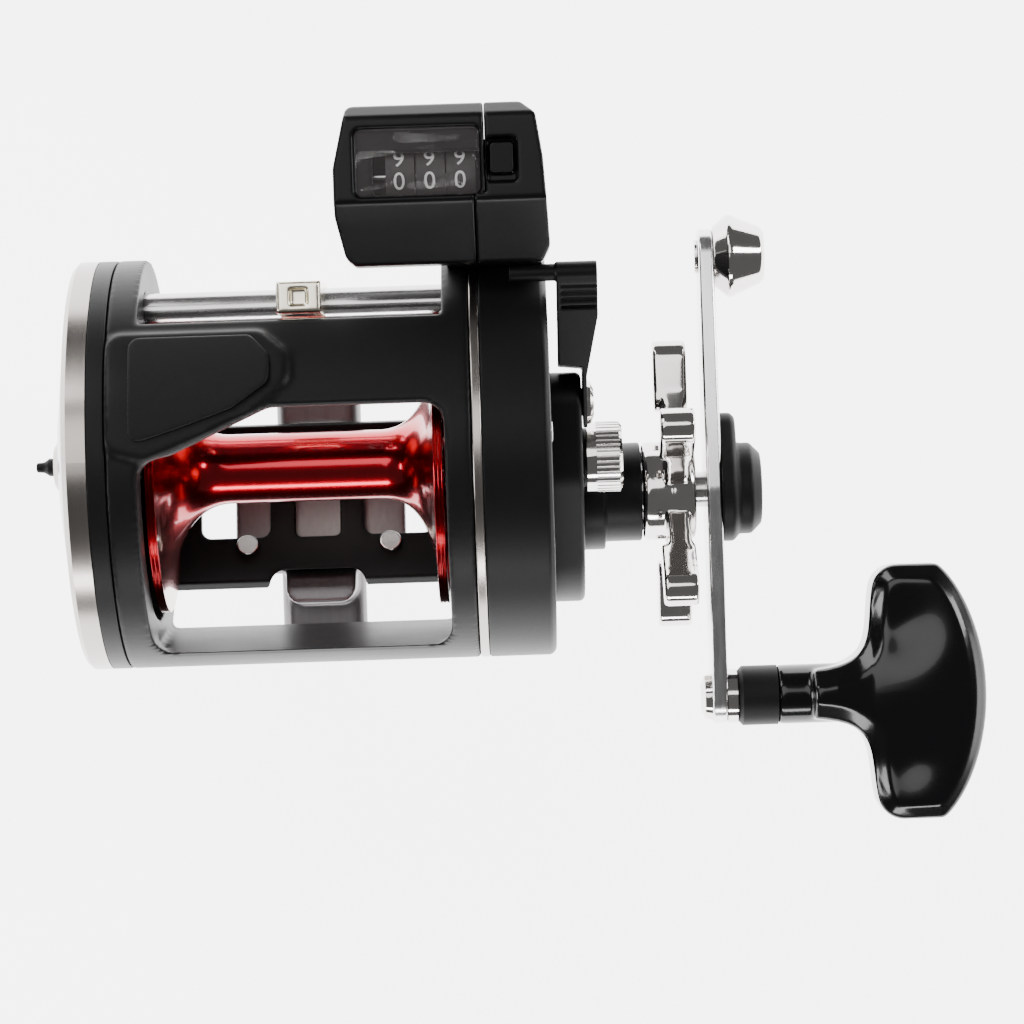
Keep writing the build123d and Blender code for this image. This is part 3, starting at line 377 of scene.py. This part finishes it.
def settled(piece):      # the modifiers' result becomes the piece's own mesh; returns its points
    bpy.context.view_layer.update()
    mesh = bpy.data.meshes.new_from_object(piece.evaluated_get(bpy.context.evaluated_depsgraph_get()))
    piece.modifiers.clear()
    piece.data = mesh
    spots = np.empty(len(mesh.vertices) * 3)
    mesh.vertices.foreach_get("co", spots)
    return spots.reshape(-1, 3)


# Knob grip: crowned faces with a finger dent on either side of the neck
grip = {"crown": 0.30, "core": 3.2, "head": 103.5, "halfWidth": 12.0, "halfLength": 21.7,
        "neckEnd": 88.0, "neckFade": 6.0,
        "dentDepth": 1.5, "dentY": 11.2, "dentX": 99.0, "dentSize": 6.0, "dentFloor": 1.5}
knob = bpy.data.objects["knobGripEased"]
spots = settled(knob)
x = spots[:, 0] / mm
y = spots[:, 1] / mm - knobY / mm
z = spots[:, 2] / mm - knobZ / mm
# beyond a flat core |z| = c, height shrinks by the crown k towards the rim:
# z = c + (|z| - c) (1 - k r^2)
rim = np.clip(((x - grip["head"]) / grip["halfWidth"]) ** 2 + (y / grip["halfLength"]) ** 2, 0, 1)
onHead = np.clip((x - grip["neckEnd"]) / grip["neckFade"], 0, 1)
shrink = 1 - grip["crown"] * rim * onHead
dentReach = (x - grip["dentX"]) ** 2 + (np.abs(y) - grip["dentY"]) ** 2
dent = np.exp(-dentReach / grip["dentSize"] ** 2)
raised = np.maximum(np.abs(z) - grip["core"], 0)
height = np.where(raised > 0, grip["core"] + raised * shrink, np.abs(z))
height -= np.where(raised > grip["dentFloor"], grip["dentDepth"] * dent * onHead, 0)
spots[:, 2] = (np.sign(z) * height) * mm + knobZ
knob.data.vertices.foreach_set("co", spots.ravel())
knob.data.update()
print("knob grip sculpted")
print("eased pieces", len(bevels) + len(melts))


# Window pane: thinner and a little smaller than its recess, so that its faces lie free of the housing's
windowFit = {"shrink": 0.985, "thick": 0.6}


def windowPane():
    mesh = cleanCopy("counter_window")
    low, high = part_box("counter_window")
    centre = (Vector(low) + Vector(high)) / 2
    for vertex in mesh.vertices:
        vertex.co.x = centre.x + (vertex.co.x - centre.x) * windowFit["shrink"]
        vertex.co.y = centre.y + (vertex.co.y - centre.y) * windowFit["shrink"]
        vertex.co.z = max(vertex.co.z, high[2] - windowFit["thick"] * mm)
    return mesh


placed(windowPane(), "windowPane", "chassis", slotOf["counter_window"], "counter_window")


# Counter digits: ten round each wheel, 0 on top
numerals = {"size": 3.9, "thick": 0.06, "radius": 5.8, "steps": 10, "lean": -0.2,
            "stations": {"hundreds_wheel": 17.7, "tens_wheel": 22.5, "ones_wheel": 27.3}}


def numeralMesh(text):
    face = bpy.data.curves.new("numeral" + text, "FONT")
    face.body = text
    face.size = numerals["size"] * mm
    face.align_x = "CENTER"
    face.align_y = "CENTER"
    face.extrude = numerals["thick"] * mm
    face.resolution_u = 8
    holder = bpy.data.objects.new("numeralHolder", face)
    scene.collection.objects.link(holder)
    bpy.context.view_layer.update()
    mesh = bpy.data.meshes.new_from_object(holder.evaluated_get(bpy.context.evaluated_depsgraph_get()))
    bpy.data.objects.remove(holder)
    return mesh


def wheelDigits(wheel):
    middle = numerals["stations"][wheel] * mm
    ring = bmesh.new()
    for step in range(numerals["steps"]):
        digit = numeralMesh(str(step))
        first = len(ring.verts)
        ring.from_mesh(digit)
        ring.verts.ensure_lookup_table()
        bulk = ring.verts[first:]
        spread = [vertex.co.copy() for vertex in bulk]
        midX = (min(spot.x for spot in spread) + max(spot.x for spot in spread)) / 2
        midY = (min(spot.y for spot in spread) + max(spot.y for spot in spread)) / 2
        # a point (x, y, z) of the flat digit goes to radius R + z at angle y / R + step * 36 degrees
        for vertex, spot in zip(bulk, spread):
            radius = numerals["radius"] * mm
            angle = (spot.y - midY) / radius - math.tau * step / numerals["steps"] + numerals["lean"]
            reach = radius + spot.z
            vertex.co = (
                middle + spot.x - midX,
                wheelY + reach * math.sin(angle),
                wheelZ + reach * math.cos(angle),
            )
        bpy.data.meshes.remove(digit)
    bmesh.ops.recalc_face_normals(ring, faces=ring.faces)
    mesh = bpy.data.meshes.new(wheel + "Digits")
    ring.to_mesh(mesh)
    ring.free()
    mesh.materials.clear()
    mesh.materials.append(digitInk.material)
    return placed(mesh, pieceNameOf(wheel) + "Digits", body_of(nodes[wheel])[0], slotOf[wheel])


digitInk = mouldedPlastic("digitInk", (0.85, 0.85, 0.83), rough=0.5, grain=0.000004)
for wheel in ("ones_wheel", "tens_wheel", "hundreds_wheel"):
    wheelDigits(wheel)
print("digits on 3 wheels")


# Worm shaft: crossed right and left hand grooves cut round the shaft
worm = {"ends": (-31.4, 35.6), "thread": (-27.0, 24.6), "grooves": (-25.4, 23.2), "radius": 2.0, "journal": 1.5,
        "depth": 0.45, "pitch": 9.5, "width": 0.17, "along": 640, "round": 64}


def wormMesh():
    along = np.linspace(*worm["ends"], worm["along"])[:, None]
    turn = np.linspace(0, 2 * np.pi, worm["round"], endpoint=False)[None, :]
    run = 2 * np.pi * along / worm["pitch"]
    # radius = R - depth where the angle is within a width of a helix of either hand
    near = np.minimum(np.abs(np.angle(np.exp(1j * (turn - run)))), np.abs(np.angle(np.exp(1j * (turn + run)))))
    groove = 1 / (1 + (near / (worm["width"] * 2)) ** 8)
    first, final = worm["grooves"]
    fade = np.clip((along - first) / 1.5, 0, 1) * np.clip((final - along) / 1.5, 0, 1)
    thick = (along > worm["thread"][0]) & (along < worm["thread"][1])
    radius = np.where(thick, worm["radius"], worm["journal"]) - worm["depth"] * groove * fade
    spots = np.stack([along + 0 * turn, radius * np.cos(turn), radius * np.sin(turn)], axis=-1).reshape(-1, 3)
    ends = np.array([[worm["ends"][0], 0, 0], [worm["ends"][1], 0, 0]])
    spots = np.concatenate([spots, ends]) * mm + np.array([0, wormY, wormZ])
    count, rows = worm["round"], worm["along"]
    faces = []
    for row in range(rows - 1):
        for column in range(count):
            after = (column + 1) % count
            faces.append((row * count + column, (row + 1) * count + column,
                          (row + 1) * count + after, row * count + after))
    last = rows * count
    for column in range(count):
        after = (column + 1) % count
        faces.append((last, column, after))
        faces.append((last + 1, (rows - 1) * count + after, (rows - 1) * count + column))
    mesh = bpy.data.meshes.new("wormGrooved")
    mesh.from_pydata(spots.tolist(), [], faces)
    shape = bmesh.new()
    shape.from_mesh(mesh)
    bmesh.ops.recalc_face_normals(shape, faces=shape.faces)
    for face in shape.faces:
        face.smooth = True
    shape.to_mesh(mesh)
    shape.free()
    return mesh


placed(wormMesh(), "wormGrooved", "worm_unit", slotOf["worm_shaft"], "worm_shaft")
print("worm grooves")


# Camera: straight down on the reel, a little turned
cameraPlace = {"x": 0.0337, "y": spoolY - 0.0087, "height": spoolZ + 0.590, "roll": -1.9, "lens": 124.45}
eye = bpy.data.objects.new("camera", bpy.data.cameras.new("camera"))
scene.collection.objects.link(eye)
eye.location = (cameraPlace["x"], cameraPlace["y"], cameraPlace["height"])
eye.rotation_euler = (0, 0, math.radians(cameraPlace["roll"]))
eye.data.lens = cameraPlace["lens"]
eye.data.clip_start = 0.01
scene.camera = eye

# Floor and light
studio = {"floorDrop": 0.035, "floorSize": 6.0, "world": 0.14, "paperGlow": 5.0}


def softLight(name, place, aim, size, power):
    lamp = bpy.data.objects.new(name, bpy.data.lights.new(name, "AREA"))
    lamp.data.shape = "RECTANGLE"
    lamp.data.size, lamp.data.size_y = size
    lamp.data.energy = power
    lamp.location = place
    lamp.rotation_euler = (Vector(aim) - Vector(place)).to_track_quat("-Z", "Y").to_euler()
    scene.collection.objects.link(lamp)


floorMesh = bpy.data.meshes.new("floor")
half = studio["floorSize"] / 2
floorZ = cadLow[2] - studio["floorDrop"]
corners = [(-half, -half, floorZ), (half, -half, floorZ), (half, half, floorZ), (-half, half, floorZ)]
floorMesh.from_pydata(corners, [], [(0, 1, 2, 3)])
floor = bpy.data.objects.new("floor", floorMesh)
scene.collection.objects.link(floor)
paper = Finish("paper", (0.93, 0.93, 0.93), rough=0.9, specular=0.0)
paperTint = paper.noise(3.0)
paper.shades(paperTint, 0.99, 1.01)
paper.set("Emission Color", paper.blend(paperTint, (0.98, 0.98, 0.98, 1), (1, 1, 1, 1)))
paper.set("Emission Strength", studio["paperGlow"])
floorMesh.materials.append(paper.material)
floor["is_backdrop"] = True

sky = bpy.data.worlds.new("studio")
scene.world = sky
sky.use_nodes = True
sky.node_tree.nodes["Background"].inputs[0].default_value = (1, 1, 1, 1)
sky.node_tree.nodes["Background"].inputs[1].default_value = studio["world"]
softLight("overBox", (-0.15, 0.25, 1.15), (0.02, 0, 0.03), (0.7, 0.5), 3.2)
softLight("topBox", (-0.3, 0.5, 0.5), (0.02, 0, 0.03), (0.3, 0.4), 3)
softLight("sideBox", (0.7, 0.2, 0.35), (0.04, 0, 0.03), (0.15, 0.5), 4)
softLight("frontBox", (0.05, -0.7, 0.35), (0.03, 0, 0.03), (0.6, 0.12), 4)
softLight("leftBox", (-0.7, -0.1, 0.3), (0.0, 0, 0.03), (0.12, 0.4), 3)
